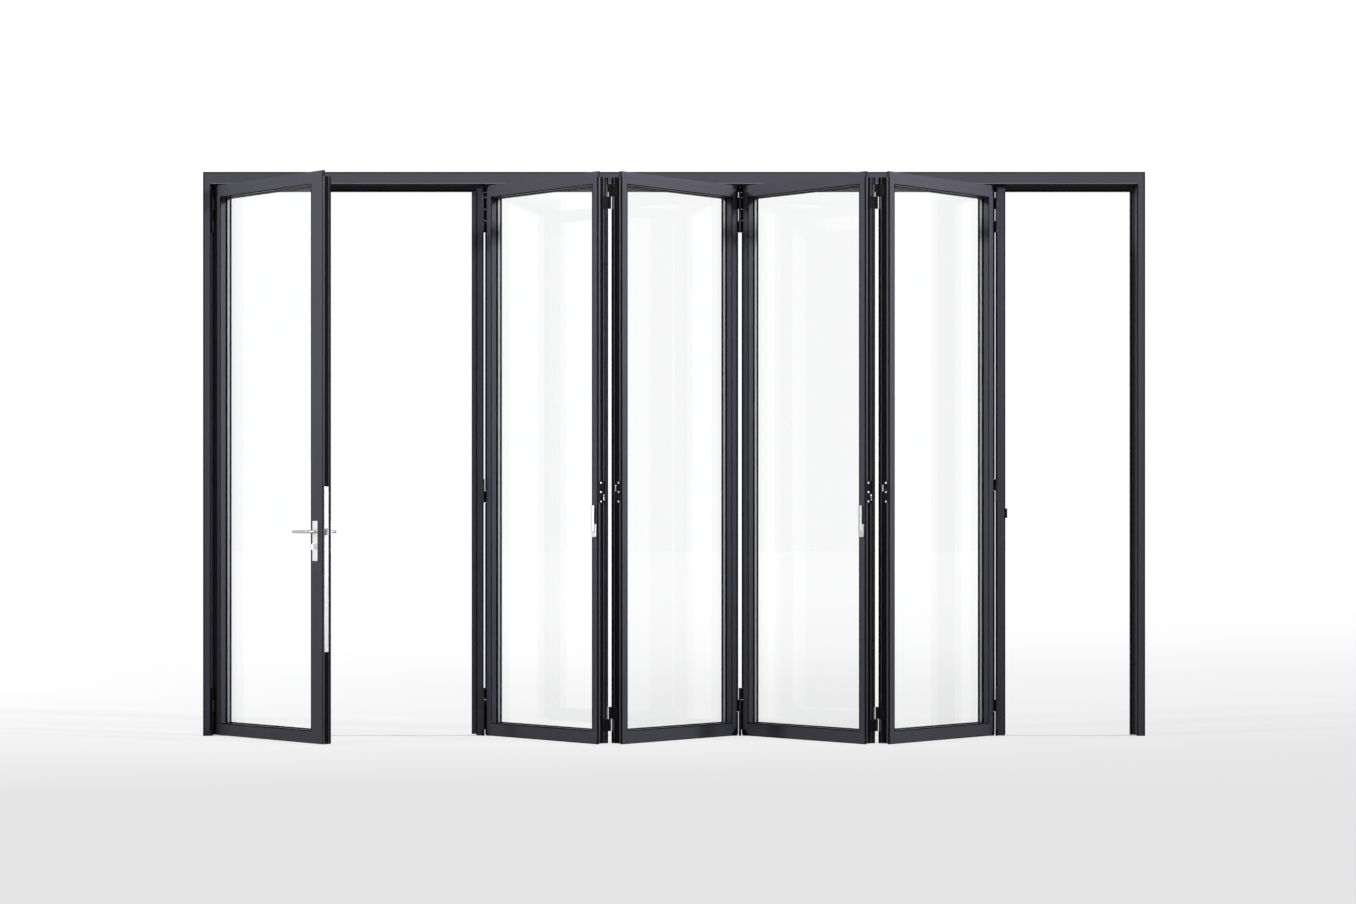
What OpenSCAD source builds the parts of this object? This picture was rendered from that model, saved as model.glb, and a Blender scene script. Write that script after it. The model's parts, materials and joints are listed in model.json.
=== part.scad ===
// Outward-folding glass wall in anthracite aluminium.
// A frame with a head track and a flush floor channel holds one side-hung access door and four folding
// leaves that hang between two travelling end posts. The model stands as photographed: door and leaves
// half open towards the viewer. X runs to the right, Y away from the viewer, Z up.

/* [Frame] */
// Overall width of the frame
frame_w = 4710; // [4300:10:5200]
// Height of the frame above the finished floor
frame_h = 2820; // [2500:10:3000]
// Depth of the frame from front to back
frame_d = 112; // [112:1:140]
// Face width of a jamb
jamb_w = 37; // [30:1:60]
// Height of the head's front face
head_h = 60; // [58:1:90]
// How far the stop stands into the opening
stop_w = 25; // [20:1:30]
// How far the head's stop hangs down
stop_drop = 30; // [26:1:40]
// Wall of the frame and leaf extrusions
wall = 3; // [2:0.5:4]
// Set-back of the leaves behind the frame's front
leaf_setback = 40; // [38:1:44]

/* [Track and floor] */
// Height of the floor channel, from its underside to the finished floor
floor_h = 30; // [28:1:50]
// Half width of the track chamber
track_half = 22; // [20:1:22]
// Thickness of the track rails
rail_t = 6; // [4:1:8]
// Half width of the slot that the hangers pass
slot_half = 6; // [5.5:0.1:6]
// Half width of the guide slot in the floor
guide_half = 7; // [6.5:0.1:8]

/* [Leaves] */
// Width of the access door
door_w = 948; // [850:1:1050]
// Thickness of door and leaves
leaf_t = 64; // [62:1:70]
// Face width of a folding leaf's stile
stile_w = 43; // [43:1:60]
// Face height of the top and bottom rails
rail_h = 70; // [60:1:110]
// Face width of the door's hinge stile
hinge_stile_w = 46; // [46:1:70]
// Face width of the door's lock stile
lock_stile_w = 98; // [96:1:120]
// Depth of the glass reveal behind the front face
reveal = 33; // [33:1:35]
// Thickness of the sealed glass unit
glass_t = 26; // [20:1:27]
// Thickness of one glass pane
pane_t = 5; // [4:0.5:8]
// Opening angle at which the leaves and the door stand
open_angle = 50; // [5:1:80]
// Place of the middle hanger along the track
middle_x = 330; // [250:1:500]

/* [Gaps] */
// Gap between neighbouring folding leaves when the wall is closed
leaf_gap = 10; // [9:1:14]
// Gap at the door's hinge side
door_gap = 12; // [12:1:16]
// Gap between the door's free edge and the left post
lock_gap = 6; // [5:1:10]
// Gap between the right post and the jamb
end_gap = 5; // [5:1:10]
// Gap under the leaves
floor_gap = 4; // [3:1:8]
// Gap between the leaves' front lip and the head
head_gap = 6; // [4:1:10]
// Seating gap of pieces that lie in a groove
seat = 0.3; // [0.2:0.05:0.4]
// Radial running clearance of pins and wheels
running = 0.05; // [0.03:0.01:0.1]

/* [Hinges] */
// Distance of the front hinge axes from the front faces
hinge_front = 15; // [14:1:18]
// Distance of the rear hinge axes from the back faces
hinge_back = 8; // [8:1:12]
// Radius of a hinge pin
pin_r = 4; // [3:0.5:4.5]
// Radius of a knuckle on the front hinges
knuckle_r = 6.5; // [6:0.1:6.8]
// Height of one knuckle
knuckle_h = 58; // [50:1:60]
// Radius of a knuckle on the door hinges
door_knuckle_r = 5.7; // [5:0.1:5.9]
// Thickness of a hinge leaf
hinge_leaf_t = 4.5; // [3:0.5:4.5]
// Height of the end posts' middle hinges above the floor
mid_hinge_z = 1226; // [1100:1:1500]
// Height of the interlocks' lower end above the floor
interlock_low = 1160; // [1050:1:1400]

/* [Locks] */
// Height of the lever axis above the floor
lever_z = 1022; // [950:1:1100]
// Distance from lever axis to cylinder axis
cylinder_drop = 72; // [70:1:92]
// Distance of the lever axis from the door's free edge
backset = 52; // [50:1:54]
// Length of a lever arm
lever_len = 122; // [100:1:135]
// Reach of a lever from its plate
lever_reach = 50; // [40:1:60]
// Height of the faceplate's lower end above the floor
faceplate_low = 446; // [380:1:700]
// Height of the faceplate's upper end above the floor
faceplate_high = 1238; // [1160:1:1500]
// Height of the flat bolt handle's axis above the floor
handle_z = 1028; // [900:1:1100]
// Length of the flat bolt handle above its axis
handle_len = 120; // [90:1:130]
// Travel of the shoot bolts
bolt_travel = 20; // [15:1:22]
// Height of the right post's spring latch above the floor
post_latch_h = 1114; // [1050:1:1180]

/* [Hidden] */
$fn = 48;
joint_line = 0.01;
ANTHRACITE = [0.29, 0.29, 0.32];
BLACK = [0.06, 0.06, 0.065];
SATIN = [0.82, 0.82, 0.83];
STEEL = [0.55, 0.56, 0.58];
CLEAR = [0.82, 0.88, 0.9, 0.4];

// Heights
frame_top = floor_h + frame_h;
soffit_z = frame_top - head_h;
stop_z = soffit_z - stop_drop;
lip_top = soffit_z - head_gap;
body_top = stop_z - 2;
leaf_bottom = floor_h + floor_gap;

// Depths, with the middle of the frame at zero
front_y = -frame_d / 2;
leaf_y = front_y + leaf_setback;
axis_y = leaf_y - hinge_front;
lip_t = 15;
body_t = 48;
stop_y = leaf_y + body_t + 2;

// Places along the wall with everything closed
inner_x = frame_w / 2 - jamb_w;
door_x = -inner_x + door_gap / 2;
post_left_w = 31;
post_right_w = 40;
left_closed_x = door_x + door_gap / 2 + door_w + lock_gap + post_left_w + leaf_gap / 2;
right_closed_x = inner_x - end_gap - post_right_w - leaf_gap / 2;
pitch = (right_closed_x - left_closed_x) / 4;
leaf_w = pitch - leaf_gap;

// Places of the front hinge axes as the wall stands
hinge_depth = hinge_front + leaf_t + hinge_back;
span = 2 * (pitch * cos(open_angle) + hinge_depth * sin(open_angle));
left_x = middle_x - span;
right_x = middle_x + span;
valley_x = [left_x, middle_x, middle_x, right_x];

// Glazing groove in stiles and rails
groove_d = 14;
groove_w = leaf_t - reveal - wall;
glass_cover = groove_d - 2;
glass_y = reveal + (groove_w - glass_t) / 2;

// Profile of the edge that faces the next leaf: a hardware channel and a seal groove
channel_y = 17;
channel_w = 19;
channel_d = 4;
seal_groove_y = 42;
seal_groove_w = 4;
seal_groove_d = 3;

// Hangers in the track
track_z = soffit_z + rail_t;
track_h = head_h - rail_t - 6;
wheel_r = 16;
wheel_w = 9;
wheel_z = track_z + wheel_r + 0.2;
axle_r = 3.5;
hanger_t = 10;

// Knuckles of the front hinges, from the top down: collar, right, left, right, left
knuckle_gap = 1;
plate_to = 44;
collar_z = body_top - 7;
top_pin_z = collar_z - 3 * knuckle_h - 28;
top_left = [[top_pin_z, knuckle_h + 2], [top_pin_z + 2 * knuckle_h + 1, knuckle_h + 1]];
top_right = [[top_pin_z + knuckle_h + 3, knuckle_h - 3], [top_pin_z + 3 * knuckle_h + 3, 24]];
low_collar_h = 27;
low_pin_z = floor_h + 1 + low_collar_h;
low_right = [[low_pin_z + 1, 91], [low_pin_z + 93 + knuckle_h + 2, knuckle_h]];
low_left = [[low_pin_z + 93, knuckle_h + 1]];
low_pin_top = low_pin_z + 93 + 2 * knuckle_h + 2;
mid_z = floor_h + mid_hinge_z;
mid_left = [[mid_z + knuckle_gap / 2, knuckle_h]];
mid_right = [[mid_z - knuckle_gap / 2 - knuckle_h, knuckle_h]];

// Knuckles of the rear hinges: the upper one on the right leaf, the lower one on the left leaf
rear_knuckle_r = 6.5;
rear_hinge_z = [floor_h + 62, lip_top - 60 - 2 * knuckle_h - knuckle_gap];
rear_hinge_h = 2 * knuckle_h + knuckle_gap;

// Lock of the access door
spindle_z = floor_h + lever_z;
cylinder_z = spindle_z - cylinder_drop;
lock_y = 23.5;
faceplate_w = 23;
faceplate_t = 3;
faceplate_z = [floor_h + faceplate_low, floor_h + faceplate_high];
case_t = 16;
case_d = 74;
case_z = [cylinder_z - 50, spindle_z + 48];
bolt_w = 12;
latch_h = 31;
latch_reach = 10;
dead_bolt_throw = 20;
spindle_w = 8;
neck_r = 9;
cylinder_r = 8.5;
escutcheon = [42, 192, 8];
escutcheon_z = cylinder_z + 28;

// Bolt handles on the first and third leaves
handle_axis_z = floor_h + handle_z;
handle_u = 23;
handle_base = [32, 62, 8];
handle_base_z = handle_axis_z - 31;
handle_arm = [17, 8];
rod_r = 4;
rod_u = 20;
rod_y = 23;
gear = [26, 26, 78];

// Interlocks at mid height on neighbouring edges
interlock_z = floor_h + interlock_low;
interlock_h = 105;

// Floor channel
base_t = 8;
guide_wall = 7;

// Spring latch of the right post
post_latch_z = floor_h + post_latch_h;
latch_out = 12;

// Fixing holes
fixing_y = 15;
fixing_r = 4.5;
jamb_fixings = [250, 1000, 1750, 2500];
head_fixings = [-1650, -550, 550, 1650];

// Lays a section drawn in Y and Z along X
module along_x(length) {
    rotate([90, 0, 90]) linear_extrude(length) children();
}

// A bar between two corners
module bar(from, to) {
    translate(from) cube(to - from);
}

// Hollow rectangular section between two corners
module tube_section(from, to) {
    difference() {
        translate(from) square(to - from);
        translate(from + [wall, wall]) square(to - from - [2 * wall, 2 * wall]);
    }
}

// A round bar along Y
module round_y(x, y, z, length, r) {
    translate([x, y, z]) rotate([-90, 0, 0]) cylinder(h = length, r = r);
}

// Places a folding leaf. Its own corner at the front hinge is at zero, X runs towards the rear hinge
// and Y from the front face to the back face.
module at_leaf(k) {
    turn = k % 2 == 1 ? -open_angle : open_angle;
    translate([valley_x[k - 1], axis_y, 0]) rotate([0, 0, turn])
        mirror([k % 2 == 1 ? 0 : 1, 0, 0]) translate([leaf_gap / 2, hinge_front, 0]) children();
}

// Places the access door, with its corner at the hinges at zero
module at_door() {
    translate([door_x, axis_y, 0]) rotate([0, 0, -open_angle])
        translate([door_gap / 2, hinge_front, 0]) children();
}

// Weather lip along the top of a leaf, in front of the track
module top_lip(x0, x1) {
    bar([x0, 0, body_top + joint_line], [x1, lip_t, lip_top]);
}

// Raises a section to the height of a leaf
module upright() {
    translate([0, 0, leaf_bottom]) linear_extrude(body_top - leaf_bottom) children();
}

// Section of a stile, its outer edge at zero: hardware channel and seal groove outside, glass groove inside
module stile_section(w) {
    difference() {
        polygon([
            [0, 0], [w, 0], [w, reveal], [w - groove_d, reveal], [w - groove_d, reveal + groove_w],
            [w, reveal + groove_w], [w, leaf_t], [0, leaf_t],
            [0, seal_groove_y + seal_groove_w], [seal_groove_d, seal_groove_y + seal_groove_w],
            [seal_groove_d, seal_groove_y], [0, seal_groove_y],
            [0, channel_y + channel_w], [channel_d, channel_y + channel_w],
            [channel_d, channel_y], [0, channel_y]
        ]);
        translate([channel_d + wall, wall]) square([w - channel_d - 2 * wall, reveal - 2 * wall]);
        translate([seal_groove_d + wall, reveal])
            square([w - groove_d - seal_groove_d - 2 * wall, groove_w]);
    }
}

// Section of the top rail in Y and Z
module top_rail_section() {
    low = lip_top - rail_h;
    difference() {
        polygon([
            [0, low], [reveal, low], [reveal, low + groove_d], [reveal + groove_w, low + groove_d],
            [reveal + groove_w, low], [leaf_t, low], [leaf_t, body_top], [0, body_top]
        ]);
        translate([wall, low + wall]) square([reveal - 2 * wall, body_top - low - 2 * wall]);
        translate([reveal, low + groove_d + wall])
            square([groove_w, body_top - low - groove_d - 2 * wall]);
    }
}

// Section of the bottom rail in Y and Z
module bottom_rail_section() {
    high = leaf_bottom + rail_h;
    difference() {
        polygon([
            [0, leaf_bottom], [leaf_t, leaf_bottom], [leaf_t, high], [reveal + groove_w, high],
            [reveal + groove_w, high - groove_d], [reveal, high - groove_d], [reveal, high], [0, high]
        ]);
        translate([wall, leaf_bottom + wall]) square([reveal - 2 * wall, rail_h - 2 * wall]);
        translate([reveal, leaf_bottom + wall]) square([groove_w, rail_h - groove_d - 2 * wall]);
    }
}

module rails(x0, x1) {
    translate([x0, 0, 0]) along_x(x1 - x0) top_rail_section();
    translate([x0, 0, 0]) along_x(x1 - x0) bottom_rail_section();
}

// Sealed glass unit that reaches into the grooves on all four sides: two panes and the spacer bars
module glass_unit(x0, x1) {
    low = [x0 - glass_cover, leaf_bottom + rail_h - glass_cover];
    high = [x1 + glass_cover, lip_top - rail_h + glass_cover];
    y0 = glass_y + pane_t + joint_line;
    y1 = glass_y + glass_t - pane_t - joint_line;
    bar_w = glass_cover + 4;
    color(CLEAR) for (y = [glass_y, glass_y + glass_t - pane_t])
        bar([low[0], y, low[1]], [high[0], y + pane_t, high[1]]);
    color(STEEL) {
        for (z = [low[1], high[1] - bar_w]) bar([low[0], y0, z], [high[0], y1, z + bar_w]);
        for (x = [low[0], high[0] - bar_w])
            bar([x, y0, low[1] + bar_w + joint_line], [x + bar_w, y1, high[1] - bar_w - joint_line]);
    }
}

// Glazing seals around the glass, on its front and its back
module glazing_seals(x0, x1) {
    z0 = leaf_bottom + rail_h;
    z1 = lip_top - rail_h;
    width = 4;
    for (y = [[reveal - 5, glass_y], [glass_y + glass_t, leaf_t]]) {
        bar([x0, y[0], z0], [x0 + width, y[1], z1]);
        bar([x1 - width, y[0], z0], [x1, y[1], z1]);
        bar([x0 + width, y[0], z0], [x1 - width, y[1], z0 + width]);
        bar([x0 + width, y[0], z1 - width], [x1 - width, y[1], z1]);
    }
}

// Upright edge seal between two heights
module edge_seal(x, y, width, from, to) {
    bar([x, y, from], [x + 3.5, y + width, to]);
}

// One front hinge knuckle with the plate that carries it, on the leaf's edge at X zero.
// axis_x is the axis's distance outside that edge.
module front_knuckle(z, h, axis_x, r) {
    difference() {
        union() {
            translate([-axis_x, -hinge_front, z]) cylinder(h = h, r = r);
            bar([-hinge_leaf_t, -hinge_front, z], [-joint_line, plate_to, z + h]);
        }
        translate([-axis_x, -hinge_front, z - 1]) cylinder(h = h + 2, r = pin_r + running);
    }
}

module front_knuckles(list, axis_x, r) {
    for (k = list) front_knuckle(k[0], k[1], axis_x, r);
}

// Head: front cover, roof over the track, hollow rear profile and stop bead
module head_profile() {
    rear_y = frame_d / 2;
    track_front = axis_y - track_half;
    track_rear = axis_y + track_half;
    color(ANTHRACITE) translate([-frame_w / 2, 0, 0]) {
        bar([0, front_y, soffit_z], [frame_w, track_front, frame_top]);
        bar([0, track_front + joint_line, track_z + track_h], [frame_w, track_rear, frame_top]);
    }
    color(ANTHRACITE) difference() {
        translate([-frame_w / 2, 0, 0]) {
            along_x(frame_w) tube_section([track_rear + joint_line, soffit_z], [rear_y, frame_top]);
            along_x(frame_w) tube_section([stop_y, stop_z], [rear_y, soffit_z - joint_line]);
        }
        for (x = head_fixings) translate([x, fixing_y, soffit_z - 1]) cylinder(h = head_h + 2, r = fixing_r);
    }
}

module track_rails() {
    color(STEEL) for (side = [-1, 1]) {
        y0 = side > 0 ? axis_y + slot_half : axis_y - track_half;
        bar([-inner_x, y0, soffit_z], [inner_x, y0 + track_half - slot_half, track_z]);
    }
}

// Jamb with the opening on its right: hollow profile and stop bead
module jamb() {
    x0 = -frame_w / 2;
    difference() {
        union() {
            linear_extrude(soffit_z - joint_line) tube_section([x0, front_y], [x0 + jamb_w, stop_y]);
            linear_extrude(stop_z - joint_line)
                tube_section([x0, stop_y + joint_line], [x0 + jamb_w + stop_w, frame_d / 2]);
        }
        for (z = jamb_fixings) translate([x0 - 1, fixing_y, z]) rotate([0, 90, 0])
            cylinder(h = jamb_w + 2, r = fixing_r);
    }
}

module jamb_left() {
    color(ANTHRACITE) jamb();
}

module jamb_right() {
    color(ANTHRACITE) difference() {
        mirror([1, 0, 0]) jamb();
        bar([inner_x - 1, leaf_y + lock_y - 10, post_latch_z - 28],
            [inner_x + wall + 1, leaf_y + lock_y + 10, post_latch_z + 28]);
    }
}

// Base plate under the finished floor, and two guide rails that come up flush with it
module floor_channel() {
    color(STEEL) {
        bar([-inner_x, front_y, 0], [inner_x, stop_y, base_t]);
        for (y = [axis_y - guide_half - guide_wall, axis_y + guide_half])
            bar([-inner_x, y, base_t + joint_line], [inner_x, y + guide_wall, floor_h]);
    }
}

// Where a leaf's shoot bolt stands with the wall closed
function bolt_closed_x(k) = left_closed_x + (k - 1) * pitch + leaf_gap / 2 + leaf_w - rod_u;

// Stop seals on the frame
module frame_gaskets() {
    t = 1.7;
    w = 8;
    stop_x = inner_x - stop_w;
    color(BLACK) {
        bar([-stop_x, stop_y - t, stop_z], [stop_x, stop_y, stop_z + w]);
        bar([-stop_x - w, stop_y - t, floor_h], [-stop_x, stop_y, stop_z - 1]);
        bar([stop_x, stop_y - t, floor_h], [stop_x + w, stop_y, stop_z - 1]);
    }
}

// Door hinges, fixed leaves: plates on the jamb's inner side, with the pins
module jamb_hinge_leaves() {
    color(BLACK) translate([door_x, axis_y + hinge_front, 0]) mirror([1, 0, 0])
        translate([door_gap / 2, 0, 0]) {
            front_knuckles(concat(top_left, low_left), door_gap / 2, door_knuckle_r);
            door_pin(top_pin_z, collar_z + 22);
            door_pin(floor_h + 1, low_pin_top);
        }
}

module door_pin(from, to) {
    translate([-door_gap / 2, -hinge_front, from]) cylinder(h = to - from, r = pin_r);
}

// Sockets for the shoot bolts in head and floor, and the keep plate at the left post's closed place
module bolt_keeps() {
    half_w = 28;
    keep_y = leaf_y + lip_t + 1.3;
    plate = [60, 10];
    color(STEEL) {
        for (x = [bolt_closed_x(1), bolt_closed_x(3)]) {
            difference() {
                bar([x - half_w, keep_y, body_top + 6], [x + half_w, stop_y - 3, soffit_z]);
                translate([x, leaf_y + rod_y, body_top]) cylinder(h = head_h, r = rod_r + 1);
            }
            translate([x, leaf_y + rod_y, base_t]) difference() {
                cylinder(h = floor_h - base_t, r = 12);
                translate([0, 0, -1]) cylinder(h = floor_h, r = rod_r + 1);
            }
        }
        translate([left_closed_x - leaf_gap / 2 - post_left_w, leaf_y + rod_y, 0])
            bar([-plate[0], -plate[1], base_t], [plate[0], plate[1], floor_h]);
    }
}

// Stiles of the access door: a front half and a rebated rear half that holds the glass
module door_hinge_stile() {
    w = hinge_stile_w;
    rebate = 20;
    color(ANTHRACITE) at_door() upright() {
        difference() {
            polygon([
                [0, 0], [w, 0], [w, reveal], [w - groove_d, reveal], [w - groove_d, body_t], [0, body_t]
            ]);
            translate([wall, wall]) square([w - 2 * wall, reveal - 2 * wall]);
            translate([wall, reveal]) square([w - groove_d - 2 * wall, body_t - reveal - wall]);
        }
        rear_half(w, rebate);
    }
}

// Rear half of a door stile, its outer edge at zero
module rear_half(w, rebate) {
    y0 = body_t + joint_line;
    glass_back = reveal + groove_w;
    polygon([
        [rebate, y0], [w - groove_d, y0], [w - groove_d, glass_back], [w, glass_back],
        [w, leaf_t], [rebate, leaf_t]
    ]);
}

// The lock stile is drawn from the free edge inwards
module door_lock_stile() {
    w = lock_stile_w;
    rebate = 28;
    inside = w - groove_d - wall;
    color(ANTHRACITE) from_free_edge() difference() {
        upright() {
            difference() {
                polygon([
                    [0, 0], [w, 0], [w, reveal], [w - groove_d, reveal], [w - groove_d, body_t],
                    [0, body_t], [0, 41], [seal_groove_d, 41], [seal_groove_d, 37], [0, 37]
                ]);
                polygon([
                    [2 * wall, wall], [w - wall, wall], [w - wall, reveal - wall],
                    [inside, reveal - wall], [inside, body_t - wall], [2 * wall, body_t - wall]
                ]);
            }
            rear_half(w, rebate);
        }
        bar([-1, lock_y - faceplate_w / 2 - seat, faceplate_z[0] - seat],
            [faceplate_t, lock_y + faceplate_w / 2 + seat, faceplate_z[1] + seat]);
        bar([-1, lock_y - case_t / 2 - seat, case_z[0] - seat],
            [2 * wall + 1, lock_y + case_t / 2 + seat, case_z[1] + seat]);
        round_y(backset, -1, spindle_z, leaf_t + 2, neck_r + 1);
        round_y(backset, -1, cylinder_z, leaf_t + 2, cylinder_r + seat);
    }
}

// Rails of the access door and its weather lip
module door_rails() {
    color(ANTHRACITE) at_door() {
        rails(hinge_stile_w, door_w - lock_stile_w);
        top_lip(0, door_w);
    }
}

module door_glass() {
    at_door() glass_unit(hinge_stile_w, door_w - lock_stile_w);
}

module door_gaskets() {
    color(BLACK) at_door() {
        glazing_seals(hinge_stile_w, door_w - lock_stile_w);
        bar([door_w, 43, leaf_bottom + 4], [door_w + 3, body_t, body_top]);
        bar([door_w - 26, body_t, leaf_bottom + 4], [door_w - 18, body_t + 1.5, body_top]);
    }
}

module door_hinge_leaves() {
    color(BLACK) at_door() {
        front_knuckles(concat(top_right, low_right), door_gap / 2, door_knuckle_r);
    }
}

// Distances from the free edge inwards
module from_free_edge() {
    at_door() translate([door_w, 0, 0]) mirror([1, 0, 0]) children();
}

// Mortise lock case with runs for both bolts and holes for spindle and cylinder
module lock_case() {
    color(STEEL) from_free_edge() difference() {
        bar([faceplate_t, lock_y - case_t / 2, case_z[0]],
            [faceplate_t + case_d, lock_y + case_t / 2, case_z[1]]);
        bolt_run(spindle_z);
        bolt_run(cylinder_z);
        round_y(backset, 0, spindle_z, leaf_t, 6.2);
        round_y(backset, 0, cylinder_z, leaf_t, cylinder_r + seat);
    }
}

module bolt_run(z) {
    bar([-1, lock_y - bolt_w / 2 - seat, z - latch_h / 2 - seat],
        [backset - cylinder_r - 4, lock_y + bolt_w / 2 + seat, z + latch_h / 2 + seat]);
}

module lock_faceplate() {
    color(SATIN) from_free_edge() difference() {
        bar([0, lock_y - faceplate_w / 2, faceplate_z[0]],
            [faceplate_t, lock_y + faceplate_w / 2, faceplate_z[1]]);
        bolt_run(spindle_z);
        bolt_run(cylinder_z);
    }
}

// Latch with its sloping nose
module latch_bolt() {
    color(STEEL) from_free_edge() translate([0, 0, spindle_z - latch_h / 2]) linear_extrude(latch_h)
        polygon([
            [28, lock_y - bolt_w / 2], [28, lock_y + bolt_w / 2], [0, lock_y + bolt_w / 2],
            [-latch_reach, lock_y - bolt_w / 2 + 2], [-latch_reach, lock_y - bolt_w / 2]
        ]);
}

module dead_bolt() {
    color(STEEL) from_free_edge() bar([0, lock_y - bolt_w / 2, cylinder_z - latch_h / 2],
        [34, lock_y + bolt_w / 2, cylinder_z + latch_h / 2]);
}

// Profile cylinder through the stile
module lock_cylinder() {
    color(STEEL) from_free_edge() difference() {
        round_y(backset, -escutcheon[2], cylinder_z, leaf_t + 2 * escutcheon[2], cylinder_r);
        round_y(backset, -escutcheon[2] - 1, cylinder_z, 20, 5 + running);
    }
}

// Plate with rounded corners, standing on the XZ plane and growing along Y
module rounded_plate(w, h, t, r) {
    bar([-w / 2 + r, 0, -h / 2], [w / 2 - r, t, h / 2]);
    bar([-w / 2, 0, -h / 2 + r], [w / 2, t, h / 2 - r]);
    for (x = [-1, 1], z = [-1, 1]) round_y(x * (w / 2 - r), 0, z * (h / 2 - r), t, r);
}

module escutcheons() {
    color(SATIN) from_free_edge() for (y = [-escutcheon[2], leaf_t]) difference() {
        translate([backset, y, escutcheon_z]) rounded_plate(escutcheon[0], escutcheon[1], escutcheon[2], 3);
        round_y(backset, y - 1, spindle_z, escutcheon[2] + 2, neck_r + seat);
        round_y(backset, y - 1, cylinder_z, escutcheon[2] + 2, cylinder_r + seat);
    }
}

// Round neck and slim arm that points to the hinge side. It starts at the spindle axis and grows along Y.
module lever() {
    arm = [17, 9];
    cylinder_len = escutcheon[2] + lever_reach;
    round_y(0, 0, 0, cylinder_len, neck_r);
    bar([0, cylinder_len - arm[1], -arm[0] / 2], [lever_len, cylinder_len, arm[0] / 2]);
    round_y(lever_len, cylinder_len - arm[1], 0, arm[1], arm[0] / 2);
}

module lever_front() {
    color(SATIN) from_free_edge() translate([backset, 0, spindle_z]) mirror([0, 1, 0]) lever();
}

module lever_back() {
    color(SATIN) from_free_edge() translate([backset, leaf_t, spindle_z]) {
        lever();
        bar([-spindle_w / 2, -leaf_t, -spindle_w / 2], [spindle_w / 2, 0, spindle_w / 2]);
    }
}

module thumb_turn() {
    stem = 18;
    wing = [6, 16, 27];
    color(SATIN) from_free_edge() translate([backset, -escutcheon[2], cylinder_z]) {
        round_y(0, 0, 0, stem, 5);
        round_y(0, -4, 0, 4, 9);
        bar([-wing[0] / 2, -4 - wing[1], -wing[2] / 2], [wing[0] / 2, -4, wing[2] / 2]);
    }
}

// Hanger at a front hinge axis, made of plain turned parts: pin, collar, neck through the slot, and the block
// with the axle's two ends
module hanger(x) {
    neck_z = lip_top + 2 + joint_line;
    block = [12, hanger_t / 2, 13];
    color(STEEL) translate([x, axis_y, 0]) {
        translate([0, 0, top_pin_z]) cylinder(h = collar_z - joint_line - top_pin_z, r = pin_r);
        translate([0, 0, collar_z]) cylinder(h = lip_top + 2 - collar_z, r = knuckle_r);
        translate([0, 0, neck_z]) cylinder(h = wheel_z - block[2] - joint_line - neck_z, r = slot_half - 1);
        bar([-block[0], -block[1], wheel_z - block[2]], [block[0], block[1], wheel_z + block[2]]);
        for (side = [0, 1]) mirror([0, side, 0])
            round_y(0, block[1] + joint_line, wheel_z, wheel_w + 3, axle_r);
    }
}

module wheels(x) {
    color(BLACK) translate([x, axis_y, wheel_z]) for (side = [-1, 1]) {
        y0 = side > 0 ? hanger_t / 2 + 1.5 : -hanger_t / 2 - 1.5 - wheel_w;
        difference() {
            round_y(0, y0, 0, wheel_w, wheel_r);
            round_y(0, y0 - 1, 0, wheel_w + 2, axle_r + running);
        }
    }
}

// Bottom guide, also of turned parts: pin, collar over the floor, short neck and roller in the slot
module guide(x) {
    roller_top = floor_h - 2;
    collar_low = floor_h + 1;
    color(STEEL) translate([x, axis_y, 0]) {
        translate([0, 0, collar_low + low_collar_h + joint_line])
            cylinder(h = low_pin_top - collar_low - low_collar_h - joint_line, r = pin_r);
        translate([0, 0, collar_low]) cylinder(h = low_collar_h, r = knuckle_r);
        translate([0, 0, roller_top + joint_line])
            cylinder(h = collar_low - roller_top - 2 * joint_line, r = pin_r);
        translate([0, 0, roller_top - 16]) cylinder(h = 16, r = guide_half - 0.5);
    }
}

module hanger_left() { hanger(left_x); }
module hanger_middle() { hanger(middle_x); }
module hanger_right() { hanger(right_x); }
module guide_left() { guide(left_x); }
module guide_middle() { guide(middle_x); }
module guide_right() { guide(right_x); }
module wheels_left() { wheels(left_x); }
module wheels_middle() { wheels(middle_x); }
module wheels_right() { wheels(right_x); }

// Places an end post, with the hinge edge's front corner at zero and X away from the leaves
module at_post(side) {
    translate([side < 0 ? left_x : right_x, leaf_y, 0]) mirror([side < 0 ? 1 : 0, 0, 0])
        translate([leaf_gap / 2, 0, 0]) children();
}

// Left post: hollow profile in four walls, and the flange that the door closes against. The strike plate fills
// a window in the wall on the door's side.
module post_left() {
    w = post_left_w;
    reach = w + 26;
    back = body_t + 2;
    window = [case_z[0] - seat, case_z[1] + seat];
    half = faceplate_w / 2 + seat;
    strip = [wall + joint_line, lock_y - half, lock_y + half, back - wall - joint_line];
    color(ANTHRACITE) at_post(-1) {
        upright() {
            square([wall, back]);
            for (y = [0, back - wall]) translate([wall + joint_line, y]) square([w - wall - joint_line, wall]);
            translate([0, back + joint_line]) tube_section([0, 0], [reach, leaf_t - back - joint_line]);
        }
        bar([w - wall, strip[0], leaf_bottom], [w, strip[3], window[0]]);
        bar([w - wall, strip[0], window[1]], [w, strip[3], body_top]);
        for (y = [0, 2])
            bar([w - wall, strip[y], window[0] + joint_line], [w, strip[y + 1], window[1] - joint_line]);
        top_lip(0, w);
    }
    color(BLACK) at_post(-1) post_hinges(concat(top_left, low_left, mid_left));
}

// Hinge knuckles of a post, and the pin of its middle hinge
module post_hinges(list) {
    front_knuckles(list, leaf_gap / 2, knuckle_r);
    translate([-leaf_gap / 2, -hinge_front, mid_z - knuckle_h])
        cylinder(h = 2 * knuckle_h + knuckle_gap, r = pin_r);
}

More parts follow.
